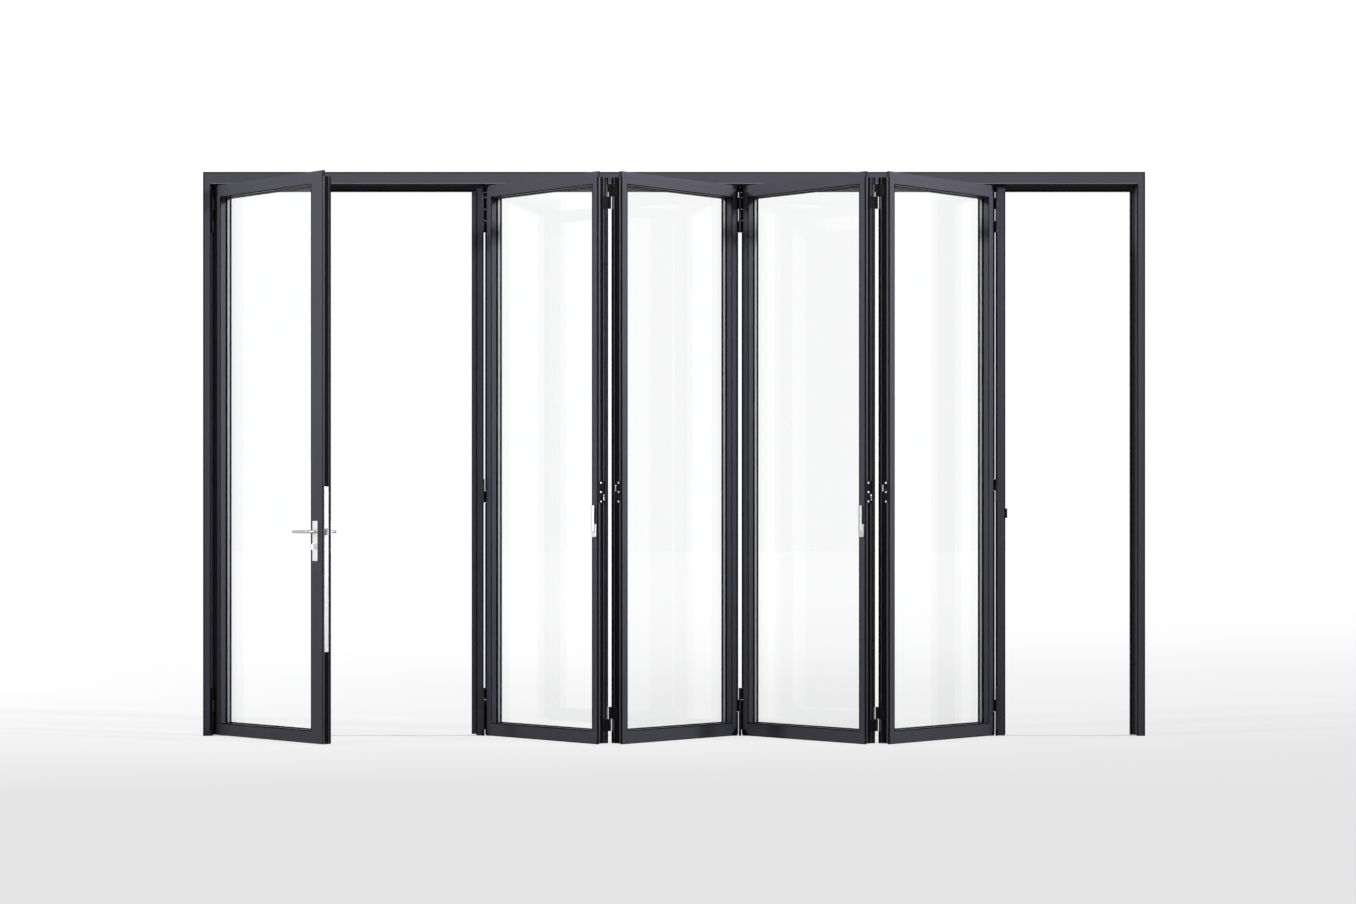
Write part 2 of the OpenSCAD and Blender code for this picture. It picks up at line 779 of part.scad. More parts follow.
// Strike plate with a hole for each bolt of the door's lock
module strike_plate() {
    t = 2;
    slack = 1.5;
    color(SATIN) at_post(-1) difference() {
        bar([post_left_w - t, lock_y - faceplate_w / 2, case_z[0]],
            [post_left_w, lock_y + faceplate_w / 2, case_z[1]]);
        for (z = [spindle_z, cylinder_z])
            bar([post_left_w - t - 1, lock_y - bolt_w / 2 - slack, z - latch_h / 2 - slack],
                [post_left_w + 1, lock_y + bolt_w / 2 + slack, z + latch_h / 2 + slack]);
    }
}

// Right post: hollow profile with a narrow tongue behind it
module post_right() {
    w = post_right_w;
    tongue = 12;
    color(ANTHRACITE) at_post(1) {
        difference() {
            upright() {
                tube_section([0, 0], [w, body_t]);
                tube_section([0, body_t + joint_line], [tongue, leaf_t]);
            }
            latch_body(-1, seat);
        }
        top_lip(0, w);
    }
    color(BLACK) at_post(1) post_hinges(concat(top_right, low_right, mid_right));
}

// Spring latch that holds the right post to the jamb
module latch_body(shift, slack) {
    bar([post_right_w - 22 + shift, lock_y - 6 - slack, post_latch_z - 24 - slack],
        [post_right_w + latch_out - shift, lock_y + 6 + slack, post_latch_z + 24 + slack]);
}

module post_latch() {
    color(BLACK) at_post(1) latch_body(0, 0);
}

module leaf_frame(k) {
    color(ANTHRACITE) at_leaf(k) {
        upright() stile_section(stile_w);
        difference() {
            translate([leaf_w, 0, 0]) mirror([1, 0, 0]) upright() stile_section(stile_w);
            if (k % 2 == 1) round_y(leaf_w - handle_u, -1, handle_axis_z, wall + 2, 5 + seat);
        }
        rails(stile_w + joint_line, leaf_w - stile_w - joint_line);
        top_lip(0, leaf_w);
    }
}

module leaf_glass(k) {
    at_leaf(k) glass_unit(stile_w, leaf_w - stile_w);
}

// Glazing seals, front edge seals between the hinges and rear edge seals
module leaf_gaskets(k) {
    end_leaf = k == 1 || k == 4;
    low = low_pin_top + 2;
    high = top_pin_z - 2;
    rear_y = 54;
    color(BLACK) at_leaf(k) {
        glazing_seals(stile_w, leaf_w - stile_w);
        if (end_leaf) {
            edge_seal(-3.5, 3, 5, low, mid_z - knuckle_h - 2);
            edge_seal(-3.5, 3, 5, mid_z + knuckle_h + 2, high);
        } else {
            edge_seal(-3.5, 3, 5, low, interlock_z - 2);
            edge_seal(-3.5, 3, 5, interlock_z + interlock_h + 2, high);
        }
        edge_seal(-3.5, rear_y, 6, leaf_bottom, body_top);
        edge_seal(leaf_w, rear_y, 6, leaf_bottom, rear_hinge_z[0] - 2);
        edge_seal(leaf_w, rear_y, 6, rear_hinge_z[0] + rear_hinge_h + 2, rear_hinge_z[1] - 2);
        edge_seal(leaf_w, rear_y, 6, rear_hinge_z[1] + rear_hinge_h + 2, body_top);
    }
}

// Rear hinge knuckle with its plate on the edge; the left leaf's one carries the pin
module rear_knuckle(k, z) {
    odd = k % 2 == 1;
    z0 = odd ? z : z + knuckle_h + knuckle_gap;
    axis = [leaf_w + leaf_gap / 2, leaf_t + hinge_back, 0];
    difference() {
        union() {
            translate(axis + [0, 0, z0]) cylinder(h = knuckle_h, r = rear_knuckle_r);
            bar([leaf_w, 24, z0], [leaf_w + hinge_leaf_t, axis[1], z0 + knuckle_h]);
        }
        if (!odd) translate(axis + [0, 0, z0 - 1]) cylinder(h = knuckle_h + 2, r = pin_r + running);
    }
    if (odd) translate(axis + [0, 0, z0]) cylinder(h = rear_hinge_h, r = pin_r);
}

// Interlock plate at mid height on the rear hinge edge, with its dog and three screws
module interlock(k) {
    dog_z = k % 2 == 1 ? interlock_z + 10 : interlock_z + 55;
    bar([leaf_w, 10, interlock_z], [leaf_w + 2, 40, interlock_z + interlock_h]);
    bar([leaf_w + 2, 30, dog_z], [leaf_w + 6, 39, dog_z + 34]);
    for (z = [7, interlock_h / 2, interlock_h - 8])
        translate([leaf_w + 2, 19, interlock_z + z]) rotate([0, 90, 0]) cylinder(h = 1, r = 4);
}

// Hinge knuckles on both edges and the interlocks
module leaf_fittings(k) {
    right_of_axis = k % 2 == 1;
    end_leaf = k == 1 || k == 4;
    dog_z = right_of_axis ? interlock_z + 55 : interlock_z + 10;
    mid = right_of_axis ? mid_right : mid_left;
    knuckles = right_of_axis ? concat(top_right, low_right) : concat(top_left, low_left);
    color(BLACK) at_leaf(k) {
        front_knuckles(end_leaf ? concat(knuckles, mid) : knuckles, leaf_gap / 2, knuckle_r);
        for (z = rear_hinge_z) rear_knuckle(k, z);
        interlock(k);
        if (!end_leaf) bar([-4, 3, dog_z], [0, 13, dog_z + 34]);
    }
}

// Base plate of the bolt handle and the gear case behind it in the stile
module bolt_gear(k) {
    color(SATIN) at_leaf(k) {
        difference() {
            translate([leaf_w - handle_u, -handle_base[2], handle_base_z + handle_base[1] / 2])
                rounded_plate(handle_base[0], handle_base[1], handle_base[2], 3);
            round_y(leaf_w - handle_u, -handle_base[2] - 1, handle_axis_z, handle_base[2] + 2, 5 + running);
        }
        difference() {
            bar([leaf_w - 10 - gear[0], wall + seat, handle_axis_z - gear[2] / 2],
                [leaf_w - 10, wall + seat + gear[1], handle_axis_z + gear[2] / 2]);
            round_y(leaf_w - handle_u, 0, handle_axis_z, 12, 5 + running);
            translate([leaf_w - rod_u, rod_y, handle_axis_z - gear[2]])
                cylinder(h = 2 * gear[2], r = rod_r + seat);
        }
    }
}

// Flat handle: hub, slim arm that points up, and the stem that turns the gear
module bolt_handle(k) {
    w = handle_arm[0];
    t = handle_arm[1];
    y0 = -handle_base[2] - 1 - t;
    color(SATIN) at_leaf(k) translate([leaf_w - handle_u, 0, handle_axis_z]) {
        round_y(0, y0, 0, t, w / 2);
        bar([-w / 2, y0, 0], [w / 2, y0 + t, handle_len]);
        round_y(0, y0, 0, -y0 + 11, 5);
    }
}

// Shoot bolt rods in the stile
module bolt_top(k) {
    color(STEEL) at_leaf(k) translate([leaf_w - rod_u, rod_y, handle_axis_z + 8])
        cylinder(h = body_top - handle_axis_z - 8, r = rod_r);
}

module bolt_bottom(k) {
    color(STEEL) at_leaf(k) translate([leaf_w - rod_u, rod_y, leaf_bottom])
        cylinder(h = handle_axis_z - 8 - leaf_bottom, r = rod_r);
}

head_profile();
track_rails();
jamb_left();
jamb_right();
floor_channel();
frame_gaskets();
jamb_hinge_leaves();
bolt_keeps();
door_hinge_stile();
door_lock_stile();
door_rails();
door_glass();
door_gaskets();
door_hinge_leaves();
lock_case();
lock_faceplate();
lock_cylinder();
escutcheons();
lever_front();
lever_back();
latch_bolt();
dead_bolt();
thumb_turn();
hanger_middle();
guide_middle();
wheels_middle();
hanger_left();
guide_left();
wheels_left();
post_left();
strike_plate();
hanger_right();
guide_right();
wheels_right();
post_right();
post_latch();
leaf_frame(1);  // leaf_1_frame
leaf_glass(1);  // leaf_1_glass
leaf_gaskets(1);  // leaf_1_gaskets
leaf_fittings(1);  // leaf_1_fittings
leaf_frame(2);  // leaf_2_frame
leaf_glass(2);  // leaf_2_glass
leaf_gaskets(2);  // leaf_2_gaskets
leaf_fittings(2);  // leaf_2_fittings
leaf_frame(3);  // leaf_3_frame
leaf_glass(3);  // leaf_3_glass
leaf_gaskets(3);  // leaf_3_gaskets
leaf_fittings(3);  // leaf_3_fittings
leaf_frame(4);  // leaf_4_frame
leaf_glass(4);  // leaf_4_glass
leaf_gaskets(4);  // leaf_4_gaskets
leaf_fittings(4);  // leaf_4_fittings
bolt_gear(1);  // bolt_gear_1
bolt_handle(1);  // bolt_handle_1
bolt_top(1);  // bolt_top_1
bolt_bottom(1);  // bolt_bottom_1
bolt_gear(3);  // bolt_gear_3
bolt_handle(3);  // bolt_handle_3
bolt_top(3);  // bolt_top_3
bolt_bottom(3);  // bolt_bottom_3
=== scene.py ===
import json
import math

import bpy
from mathutils import Matrix, Vector

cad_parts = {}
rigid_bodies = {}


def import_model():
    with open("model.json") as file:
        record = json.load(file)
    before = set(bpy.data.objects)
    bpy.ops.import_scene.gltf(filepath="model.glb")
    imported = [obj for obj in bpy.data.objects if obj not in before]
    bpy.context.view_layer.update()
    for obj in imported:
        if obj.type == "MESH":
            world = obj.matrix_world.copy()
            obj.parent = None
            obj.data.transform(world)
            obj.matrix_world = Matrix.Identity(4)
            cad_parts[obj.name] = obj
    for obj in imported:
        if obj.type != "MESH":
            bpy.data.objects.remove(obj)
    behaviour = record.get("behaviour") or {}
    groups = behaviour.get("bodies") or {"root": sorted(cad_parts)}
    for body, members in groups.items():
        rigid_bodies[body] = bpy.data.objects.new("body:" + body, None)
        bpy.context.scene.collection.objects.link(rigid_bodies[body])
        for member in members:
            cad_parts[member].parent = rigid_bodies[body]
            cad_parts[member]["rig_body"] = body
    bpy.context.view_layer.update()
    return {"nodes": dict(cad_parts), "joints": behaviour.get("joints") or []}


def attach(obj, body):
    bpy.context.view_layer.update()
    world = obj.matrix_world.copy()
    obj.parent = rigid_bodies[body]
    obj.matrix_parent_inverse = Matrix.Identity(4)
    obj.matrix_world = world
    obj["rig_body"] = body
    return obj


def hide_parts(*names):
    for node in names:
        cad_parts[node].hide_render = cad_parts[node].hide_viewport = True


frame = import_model()
nodes = frame["nodes"]
joint_place = {j["name"]: j.get("pos_m") for j in frame["joints"]}

# Camera: far in front of the wall, a little over the height of a table, and square to it. The lens is
# shifted so that the head and the floor lie as they do in a view of the whole wall.
bpy.ops.object.select_all(action="DESELECT")
camera_data = bpy.data.cameras.new("camera")
camera_data.sensor_width = 36
camera_data.lens = 87.08
camera_data.shift_x = 0.0155
camera_data.shift_y = 0.0549
camera_data.clip_end = 400
camera_distance = 16.456
camera = bpy.data.objects.new("camera", camera_data)
camera.location = (-0.0855, -camera_distance, 1.0775)
camera.rotation_euler = (math.pi / 2, 0, 0)
bpy.context.scene.collection.objects.link(camera)
bpy.context.scene.camera = camera

# Head and jambs: extruded aluminium, saw-cut to length, joined at the corners and powder coated in a
# fine matt anthracite. Every visible edge has the small radius that an extrusion has.


class Wire:
    """A socket of a material, with the sums that a finish needs."""

    def __init__(self, tree, socket):
        self.tree = tree
        self.socket = socket

    def sum(self, operation, other, swap=False):
        node = self.tree.nodes.new("ShaderNodeMath")
        node.operation = operation
        for place, value in zip((1, 0) if swap else (0, 1), (self, other)):
            if isinstance(value, Wire):
                self.tree.links.new(value.socket, node.inputs[place])
            else:
                node.inputs[place].default_value = value
        return Wire(self.tree, node.outputs[0])

    def __add__(self, other):
        return self.sum("ADD", other)

    def __rsub__(self, other):
        return self.sum("SUBTRACT", other, swap=True)

    def __mul__(self, other):
        return self.sum("MULTIPLY", other)


class Finish:
    """A material and the nodes that it is made of."""

    def __init__(self, name):
        self.material = bpy.data.materials.new(name)
        self.material.use_nodes = True
        self.tree = self.material.node_tree
        self.shader = self.tree.nodes["Principled BSDF"]
        self.output = self.tree.nodes["Material Output"]

    def node(self, kind, settings=None, inputs=None, output=0):
        made = self.tree.nodes.new(kind)
        for key, value in (settings or {}).items():
            if key == "stops":
                ramp = made.color_ramp
                while len(ramp.elements) > 1:
                    ramp.elements.remove(ramp.elements[-1])
                ramp.elements[0].position, ramp.elements[0].color = value[0][0], (*value[0][1], 1)
                for place, colour in value[1:]:
                    ramp.elements.new(place).color = (*colour, 1)
            else:
                setattr(made, key, value)
        for key, value in (inputs or {}).items():
            if isinstance(value, Wire):
                self.tree.links.new(value.socket, made.inputs[key])
            else:
                made.inputs[key].default_value = value
        return Wire(self.tree, made.outputs[output])

    def place(self):
        return self.node("ShaderNodeTexCoord", output=3)

    def noise(self, scale, detail, stretch=(1, 1, 1)):
        where = self.node("ShaderNodeMapping", inputs={"Vector": self.place(), "Scale": stretch})
        return self.node("ShaderNodeTexNoise", inputs={"Vector": where, "Scale": scale, "Detail": detail})

    def mix(self, amount, first, second):
        node = self.tree.nodes.new("ShaderNodeMix")
        node.data_type = "RGBA"
        for place, value in ((0, amount), (6, first), (7, second)):
            if isinstance(value, Wire):
                self.tree.links.new(value.socket, node.inputs[place])
            else:
                node.inputs[place].default_value = value if place == 0 else (*value, 1)
        return Wire(self.tree, node.outputs[2])

    def set(self, **values):
        for key, value in values.items():
            key = key.replace("_", " ")
            if isinstance(value, Wire):
                self.tree.links.new(value.socket, self.shader.inputs[key])
            elif key == "Base Color":
                self.shader.inputs[key].default_value = (*value, 1)
            else:
                self.shader.inputs[key].default_value = value

    def bump(self, height, distance, strength):
        self.set(Normal=self.node("ShaderNodeBump", inputs={
            "Height": height, "Distance": distance, "Strength": strength}))

    def clear(self):
        """Takes out all nodes but the output."""
        for old in list(self.tree.nodes):
            if old.name != "Material Output":
                self.tree.nodes.remove(old)

    def blend(self, amount, first, second):
        """Mixes two shaders and gives them to the output."""
        node = self.tree.nodes.new("ShaderNodeMixShader")
        for place, value in enumerate((amount, first, second)):
            self.tree.links.new(value.socket, node.inputs[place])
        self.tree.links.new(node.outputs[0], self.output.inputs["Surface"])


def powder_coat(name, light, dark, rough, sheen=0.14):
    """Matt powder coat: the grain of the baked powder, and a faint cloudiness over a long profile."""
    coat = Finish(name)
    cloud = coat.noise(2.3, 3)
    grain = coat.noise(1400, 2)
    coat.set(Base_Color=coat.mix(cloud * 0.7 + grain * 0.3, dark, light),
             Roughness=grain * 0.1 + cloud * 0.06 + (rough - 0.08), Specular_IOR_Level=sheen)
    coat.bump(grain, 0.00012, 0.35)
    return coat.material


anthracite = powder_coat("anthracite_powder_coat", (0.062, 0.061, 0.08), (0.053, 0.052, 0.068), 0.42)
smooth_angle = math.radians(35)
profile_edge = 0.0006


def finished_copy(node, width, material, angle=30):
    """A copy of a node with its edges broken by a small radius, which then stands for that node."""
    bpy.ops.object.select_all(action="DESELECT")
    piece = nodes[node].copy()
    piece.data = nodes[node].data.copy()
    piece.parent = None
    piece.name = node + "_finished"
    for key in list(piece.keys()):
        del piece[key]
    bpy.context.scene.collection.objects.link(piece)
    bpy.context.view_layer.objects.active = piece
    piece.select_set(True)
    bpy.ops.object.mode_set(mode="EDIT")
    bpy.ops.mesh.select_all(action="SELECT")
    bpy.ops.mesh.remove_doubles(threshold=0.000003)
    bpy.ops.mesh.dissolve_limited(angle_limit=math.radians(0.5))
    bpy.ops.object.mode_set(mode="OBJECT")
    bpy.ops.mesh.customdata_custom_splitnormals_clear()
    bevel = piece.modifiers.new("edges", "BEVEL")
    bevel.width = width
    bevel.segments = 2
    bevel.limit_method = "ANGLE"
    bevel.angle_limit = math.radians(angle)
    bpy.ops.object.modifier_apply(modifier="edges")
    bpy.ops.object.shade_smooth_by_angle(angle=smooth_angle)
    even = piece.modifiers.new("even", "WEIGHTED_NORMAL")
    even.keep_sharp = True
    bpy.ops.object.modifier_apply(modifier="even")
    piece.data.materials.clear()
    piece.data.materials.append(material)
    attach(piece, nodes[node]["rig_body"])
    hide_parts(node)
    return piece


for name in ("head_profile", "jamb_left", "jamb_right"):
    finished_copy(name, profile_edge, anthracite)

# Track rails: two strips of hard drawn steel that carry the wheels on both sides of the slot, coated near
# black, which partly paints the shade of the head's underside. The floor channel is zinc plated, with a
# drawn grain along its length. The keeps are black steel.
zinc = Finish("zinc_plated_steel")
drawn = zinc.noise(60, 3, (0.05, 8, 8))
zinc.set(Base_Color=zinc.mix(drawn, (0.36, 0.37, 0.38), (0.5, 0.51, 0.52)), Metallic=1.0,
         Roughness=drawn * 0.15 + 0.3)
zinc.bump(drawn, 0.00005, 0.3)
black_steel = Finish("black_steel")
brushed = black_steel.noise(80, 3, (6, 6, 0.4))
black_steel.set(Base_Color=black_steel.mix(brushed, (0.004, 0.004, 0.0045), (0.008, 0.008, 0.0085)),
                Roughness=brushed * 0.12 + 0.5, Specular_IOR_Level=0.05)
black_steel.bump(brushed, 0.00004, 0.25)
# Near-black rail coat: partly the rails' own black coat, partly painted shade of the head's underside.
rail_black_and_shade = powder_coat("track_rail_black_and_painted_shade", (0.008, 0.008, 0.009), (0.005, 0.005, 0.006), 0.5, 0.1)
steel_edge = 0.0004
finished_copy("track_rails", steel_edge, rail_black_and_shade)
finished_copy("floor_channel", steel_edge, zinc.material)
finished_copy("bolt_keeps", steel_edge, black_steel.material)

# Stop seals, glazing seals and edge seals: extruded black rubber, pressed into the grooves of the
# profiles. Their lips are round.
rubber = Finish("black_rubber")
chalk = rubber.noise(300, 2)
rubber.set(Base_Color=rubber.mix(chalk, (0.0015, 0.0015, 0.002), (0.003, 0.003, 0.0035)),
           Roughness=chalk * 0.15 + 0.6, Specular_IOR_Level=0.02)
rubber.bump(chalk, 0.0001, 0.2)
finished_copy("frame_gaskets", profile_edge, rubber.material)

# Hinges: turned knuckles with flat leaves that lie on the profiles' edges, in blackened steel, and the
# interlock plates at mid height. Their edges are broken.
for name in ("jamb_hinge_leaves", "door_hinge_leaves", "leaf_1_fittings", "leaf_2_fittings",
             "leaf_3_fittings", "leaf_4_fittings"):
    finished_copy(name, 0.0005, black_steel.material, 50)

# Frames of the door and of the folding leaves, and the two travelling posts: extrusions with the
# same coat as the frame. The rails stand between the stiles, with a fine joint at each corner, and are
# a little slimmer towards the glass than they are drawn.
rail_trim = 0.008
top_rail_edge = (2.712, 2.733)
bottom_rail_edge = (0.085, 0.106)
for name in ("door_rails", "leaf_1_frame", "leaf_2_frame", "leaf_3_frame", "leaf_4_frame"):
    frame_piece = finished_copy(name, profile_edge, anthracite)
    for corner in frame_piece.data.vertices:
        if top_rail_edge[0] < corner.co.z < top_rail_edge[1]:
            corner.co.z += rail_trim
        elif bottom_rail_edge[0] < corner.co.z < bottom_rail_edge[1]:
            corner.co.z -= rail_trim
for name in ("door_hinge_stile", "door_lock_stile", "post_left", "post_right"):
    finished_copy(name, profile_edge, anthracite)

# Sealed glass units: two clear panes with arrissed edges, a grey spacer between them, and the black
# edge seal on both sides of the spacer. Each unit is bedded in the frame's groove.
mm = 0.001
open_angle = math.radians(50)
leaves = (1, 2, 3, 4)
leaf_w = 0.886
door_w = 0.948
hinge_beside = 0.005
door_hinge_beside = 0.006
hinge_before = 0.015
leaf_depth = 64 * mm


def leaf_place(k):
    """Turns a piece drawn on a leaf that stands square at the origin to where that leaf is."""
    axis = joint_place[{1: "post_left_hinge", 2: "fold_left", 3: "fold_right", 4: "post_right_hinge"}[k]]
    turn = -open_angle if k % 2 else open_angle
    side = Matrix.Identity(4) if k % 2 else Matrix.Scale(-1, 4, (1, 0, 0))
    return (Matrix.Translation((axis[0], axis[1], 0)) @ Matrix.Rotation(turn, 4, "Z") @ side
            @ Matrix.Translation((hinge_beside, hinge_before, 0)))


def door_place():
    """The same for the access door."""
    axis = joint_place["door_swing"]
    return (Matrix.Translation((axis[0], axis[1], 0)) @ Matrix.Rotation(-open_angle, 4, "Z")
            @ Matrix.Translation((door_hinge_beside, hinge_before, 0)))


def settle(piece, matrix, body, material):
    """Puts a drawn piece at its place with its object at the origin, and gives it its finish."""
    bpy.ops.object.select_all(action="DESELECT")
    piece.data.transform(matrix @ piece.matrix_world)
    piece.matrix_world = Matrix.Identity(4)
    bpy.context.view_layer.objects.active = piece
    piece.select_set(True)
    bpy.ops.object.mode_set(mode="EDIT")
    bpy.ops.mesh.select_all(action="SELECT")
    bpy.ops.mesh.normals_make_consistent(inside=False)
    bpy.ops.object.mode_set(mode="OBJECT")
    bpy.ops.object.shade_smooth_by_angle(angle=smooth_angle)
    piece.data.materials.clear()
    piece.data.materials.append(material)
    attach(piece, body)
    return piece


def copy_of(piece, name):
    bpy.ops.object.select_all(action="DESELECT")
    twin = piece.copy()
    twin.data = piece.data.copy()
    twin.name = name
    bpy.context.scene.collection.objects.link(twin)
    return twin


def plain_block(name, low, high):
    """A block between two corners, still with sharp edges."""
    bpy.ops.object.select_all(action="DESELECT")
    low, high = Vector(low), Vector(high)
    bpy.ops.mesh.primitive_cube_add(size=1, location=(low + high) / 2)
    piece = bpy.context.object
    piece.name = name
    piece.scale = high - low
    bpy.ops.object.transform_apply(location=True, rotation=False, scale=True)
    return piece


def edged_block(name, low, high, edge, segments):
    """A block between two corners, with its edges rounded."""
    piece = plain_block(name, low, high)
    bpy.ops.object.mode_set(mode="EDIT")
    bpy.ops.mesh.select_all(action="SELECT")
    bpy.ops.mesh.bevel(offset=edge, offset_type="OFFSET", segments=segments, affect="EDGES")
    bpy.ops.object.mode_set(mode="OBJECT")
    return piece


def pick_faces(piece, wanted):
    """Goes into edit mode with only those faces selected whose normal is wanted."""
    bpy.ops.object.mode_set(mode="EDIT")
    bpy.ops.mesh.select_mode(type="FACE")
    bpy.ops.mesh.select_all(action="DESELECT")
    bpy.ops.object.mode_set(mode="OBJECT")
    for face in piece.data.polygons:
        face.select = wanted(face.normal)
    bpy.ops.object.mode_set(mode="EDIT")


def ring_frame(name, low, high, width):
    """An upright frame between two corners, as wide as given, open in the middle."""
    piece = plain_block(name, low, high)
    pick_faces(piece, lambda normal: abs(normal.y) > 0.9)
    bpy.ops.mesh.inset(thickness=width, use_individual=True)
    bpy.ops.mesh.bridge_edge_loops()
    bpy.ops.object.mode_set(mode="OBJECT")
    return piece


glass = Finish("clear_glass")
glass.clear()
facing_away = glass.node("ShaderNodeNewGeometry", output=6)
reflect = glass.node("ShaderNodeFresnel", inputs={"IOR": 1.5})
through = glass.node("ShaderNodeBsdfTransparent", inputs={"Color": (0.998, 1.0, 0.999, 1)})
mirror_like = glass.node("ShaderNodeBsdfGlossy", inputs={"Color": (1, 1, 1, 1), "Roughness": 0.0})
glass.blend(reflect * (1 - facing_away) * 0.75, through, mirror_like)

spacer_grey = Finish("grey_spacer")
pores = spacer_grey.noise(500, 1)
spacer_grey.set(Base_Color=spacer_grey.mix(pores, (0.24, 0.24, 0.245), (0.3, 0.3, 0.305)),
                Roughness=pores * 0.2 + 0.4)
edge_seal = Finish("edge_seal")
smear = edge_seal.noise(90, 3)
edge_seal.set(Base_Color=edge_seal.mix(smear, (0.01, 0.01, 0.011), (0.02, 0.02, 0.021)),
              Roughness=smear * 0.3 + 0.35, Specular_IOR_Level=0.1)
edge_seal.bump(smear, 0.0003, 0.4)


def sealed_unit(name, x0, x1, place, body, node):
    """The two panes, the spacer and the edge seals of one unit."""
    low_z, high_z = 84 * mm, 2734 * mm
    for side, y0 in (("outer", 34 * mm), ("inner", 55 * mm)):
        pane = edged_block(f"{name}_pane_{side}", (x0, y0, low_z), (x1, y0 + 5 * mm, high_z), 0.5 * mm, 1)
        settle(pane, place, body, glass.material)
        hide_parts(node)
    strip = ring_frame(f"{name}_spacer", (x0, 41 * mm, low_z), (x1, 53 * mm, high_z), 13 * mm)
    settle(strip, place, body, spacer_grey.material)
    for side, y0 in (("outer", 39.05 * mm), ("inner", 53.05 * mm)):
        seal = ring_frame(f"{name}_seal_{side}", (x0, y0, low_z), (x1, y0 + 1.9 * mm, high_z), 12.4 * mm)
        settle(seal, place, body, edge_seal.material)


for k in leaves:
    sealed_unit(f"leaf_{k}", 31 * mm, leaf_w - 31 * mm, leaf_place(k), f"leaf_{k}", f"leaf_{k}_glass")
sealed_unit("door", 34 * mm, door_w - 86 * mm, door_place(), "door", "door_glass")

# Glazing seals: a soft black ring that presses on the glass in front and behind, and a black lip on the
# frame's front face round the glass, partly a seal lip and partly a painted shade line round the inner
# edge of each frame.
glass_low, glass_high = 96 * mm, 2722 * mm


def joined(name, parts):
    """Several drawn parts become one piece."""
    bpy.ops.object.select_all(action="DESELECT")
    for part in parts:
        part.select_set(True)
    bpy.context.view_layer.objects.active = parts[0]
    if len(parts) > 1:
        bpy.ops.object.join()
    parts[0].name = name
    return parts[0]


def bar(low, high, edge=0.3):
    """A block in millimetres with its edges just broken."""
    return edged_block("bar", Vector(low) * mm, Vector(high) * mm, edge * mm, 1)


def glazing_ring(name, x0, x1, place, body, node):
    """The seals in front of and behind the glass, and the black lip on the frame's inner edge, partly painted
    shade.
    """
    low, high = glass_low, glass_high
    rings = [ring_frame(name, (x0, y0 * mm, low), (x1, y1 * mm, high), 3 * mm)
             for y0, y1 in ((30.5, 33.9), (60.1, 63.5))]
    # The lip lies on the frame's front face round the opening: a black strip that is partly seal and partly
    # painted shade line.
    rim = 4.4 * mm
    rings.append(ring_frame(name, (x0 - rim, -0.3 * mm, low - rim), (x1 + rim, 1.5 * mm, high + rim),
                            4.6 * mm))
    piece = settle(joined(name, rings), place, body, rubber.material)
    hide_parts(node)


def edge_of_leaf(name, k, from_z, to_z, bars, material):
    """Bars on a leaf's edge: pairs of corners in X and Y, all between the same heights."""
    parts = [bar((x0, y0, from_z), (x1, y1, to_z)) for x0, y0, x1, y1 in bars]
    return settle(joined(name, parts), leaf_place(k), f"leaf_{k}", material)


for k in leaves:
    glazing_ring(f"leaf_{k}_glazing_seal", 43 * mm, leaf_w - 43 * mm, leaf_place(k), f"leaf_{k}",
                 f"leaf_{k}_gaskets")
glazing_ring("door_glazing_seal", 46 * mm, door_w - 98 * mm, door_place(), "door", "door_gaskets")

# Edges of the folding leaves: a black polyamide strip fills the hardware channel, a round seal its
# groove, and a rubber fin stands on the front corner. They run from the bottom to the top of the leaf.
# Black polyamide; the same near-black finish also serves the strips that paint dark shade lines on the frame
# and part of the shade on the door's lock edge.
polyamide_and_shade = powder_coat("polyamide_and_painted_shade", (0.004, 0.004, 0.0045), (0.0025, 0.0025, 0.003), 0.6, 0.03)
w = leaf_w * 1000
foot, top = 35, 2757
# Heights in millimetres, from and to: the front hinges' knuckles on the pieces left and right of an
# axis, the pair at mid height, and the rear hinges. The right leaf's rear knuckle sits higher.
knuckles_left = ((2549, 2609), (2666, 2725), (150, 209))
knuckles_right = ((2610, 2665), (2726, 2750), (59, 150), (211, 269))
mid_low, mid_high = ((1197, 1256),), ((1256, 1315),)
rear_hinges = ((92, 209), (2607, 2724))
rear_shift = 59
leaf_knuckles = {1: knuckles_right + mid_low, 2: knuckles_left, 3: knuckles_right,
                 4: knuckles_left + mid_high}


def between(low, high, blocked):
    """The stretches from low to high that are free of the blocked ones."""
    start, free = low, []
    for b0, b1 in sorted(blocked):
        if b0 - start > 4:
            free.append((start, b0 - 0.5))
        start = b1 + 0.5
    if high - start > 4:
        free.append((start, high))
    return free


